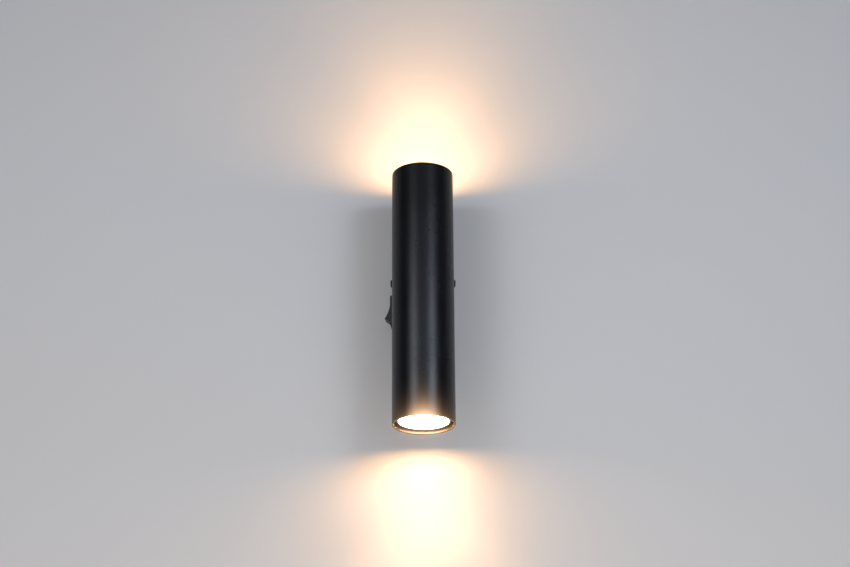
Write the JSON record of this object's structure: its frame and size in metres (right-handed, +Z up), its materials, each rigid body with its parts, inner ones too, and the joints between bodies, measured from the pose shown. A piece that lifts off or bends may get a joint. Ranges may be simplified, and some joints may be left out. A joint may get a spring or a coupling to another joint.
{
  "type": "tube wall light",
  "caption": "Black tube wall light that shines up and down, on a shallow back box with a long rocker switch, twist-lock reflector lamps and a slotted wall bracket.",
  "frame": {"origin": "on the wall plane, at the middle of the wall bracket's two slots, level with the middle of the tube", "axes": "+Y into the wall, -Y into the room, +Z up along the tube, +X to the right as seen from the room"},
  "size_m": [0.0703, 0.09, 0.26],
  "materials": {
    "black_powder_coat": "satin powder coat with a fine grain",
    "zinc_plated_steel": "zinc plated sheet",
    "black_zinc_screw": "black zinc",
    "bright_screw": "bright zinc",
    "switch_black": "moulded, fine satin",
    "rocker_black": "moulded, half gloss",
    "white_nylon": "moulded nylon",
    "black_nylon": "moulded nylon",
    "black_rubber": "moulded rubber",
    "brass": "bare brass",
    "spring_steel": "bright wire",
    "steatite": "glazed ceramic, off-white",
    "lamp_white": "moulded white shell",
    "lamp_lens": "clear lens, lit",
    "board_white": "white solder mask",
    "board_green": "green solder mask",
    "brown_lead": "lead insulation",
    "grey_lead": "lead insulation",
    "earth_lead": "lead insulation"
  },
  "bodies": {
    "wall_light": {"outer_tube": "black_powder_coat", "back_box": "black_powder_coat", "saddle_washers": "black_nylon", "bush_spacer": "black_nylon", "cable_bush": "black_nylon", "tube_fixing_screws": "bright_screw", "tube_fixing_nuts": "zinc_plated_steel", "side_screws": "black_zinc_screw", "wall_bracket": "zinc_plated_steel", "cable_grommet": "black_rubber", "switch_housing": "switch_black", "switch_terminals": "brass", "switch_receptacles": "zinc_plated_steel", "switch_live_lead": "brown_lead", "switch_return_lead": "brown_lead", "terminal_block": "white_nylon", "terminal_clamps": "brass", "terminal_screws": "bright_screw", "block_screw": "bright_screw", "earth_screw": "brass", "earth_tag": "brass", "earth_lead": "earth_lead", "upper_lamp_leads": "grey_lead", "upper_holder_bracket": "zinc_plated_steel", "upper_holder_base": "steatite", "upper_holder_cap": "steatite", "upper_holder_contacts": "brass", "upper_holder_screws": "bright_screw", "lower_lamp_leads": "grey_lead", "lower_holder_bracket": "zinc_plated_steel", "lower_holder_base": "steatite", "lower_holder_cap": "steatite", "lower_holder_contacts": "brass", "lower_holder_screws": "bright_screw"},
    "rocker_assembly": {"rocker": "rocker_black", "rocker_plunger": "white_nylon", "rocker_spring": "spring_steel"},
    "contact_lever": {"contact_lever": "brass"},
    "upper_lamp": {"upper_lamp_body": "lamp_white", "upper_lamp_lens": "lamp_lens", "upper_led_board": "board_white", "upper_driver_board": "board_green", "upper_lamp_base": "lamp_white", "upper_lamp_pins": "brass"},
    "lower_lamp": {"lower_lamp_body": "lamp_white", "lower_lamp_lens": "lamp_lens", "lower_led_board": "board_white", "lower_driver_board": "board_green", "lower_lamp_base": "lamp_white", "lower_lamp_pins": "brass"}
  },
  "joints": [
    {"name": "rocker_pivot", "type": "hinge", "parent": "wall_light", "child": "rocker_assembly", "pos_m": [-0.02696, -0.01472, 0.0021], "axis": [-0.1099, -0.9939, 0], "range_deg": [0, 30.2]},
    {"name": "contact_lever_tilt", "type": "hinge", "parent": "wall_light", "child": "contact_lever", "pos_m": [-0.01832, -0.01568, 0.0021], "axis": [0.1099, 0.9939, 0], "range_deg": [0, 15.1]},
    {"name": "upper_lamp_twist", "type": "hinge", "parent": "wall_light", "child": "upper_lamp", "pos_m": [0, -0.06, 0.1], "axis": [0, 0, 1], "range_deg": [0, 30]},
    {"name": "lower_lamp_twist", "type": "hinge", "parent": "wall_light", "child": "lower_lamp", "pos_m": [0, -0.06, -0.1], "axis": [0, 0, -1], "range_deg": [0, 30]}
  ],
  "couplings": [
    {"joint": "contact_lever_tilt", "follows": "rocker_pivot", "ratio": 0.5}
  ]
}
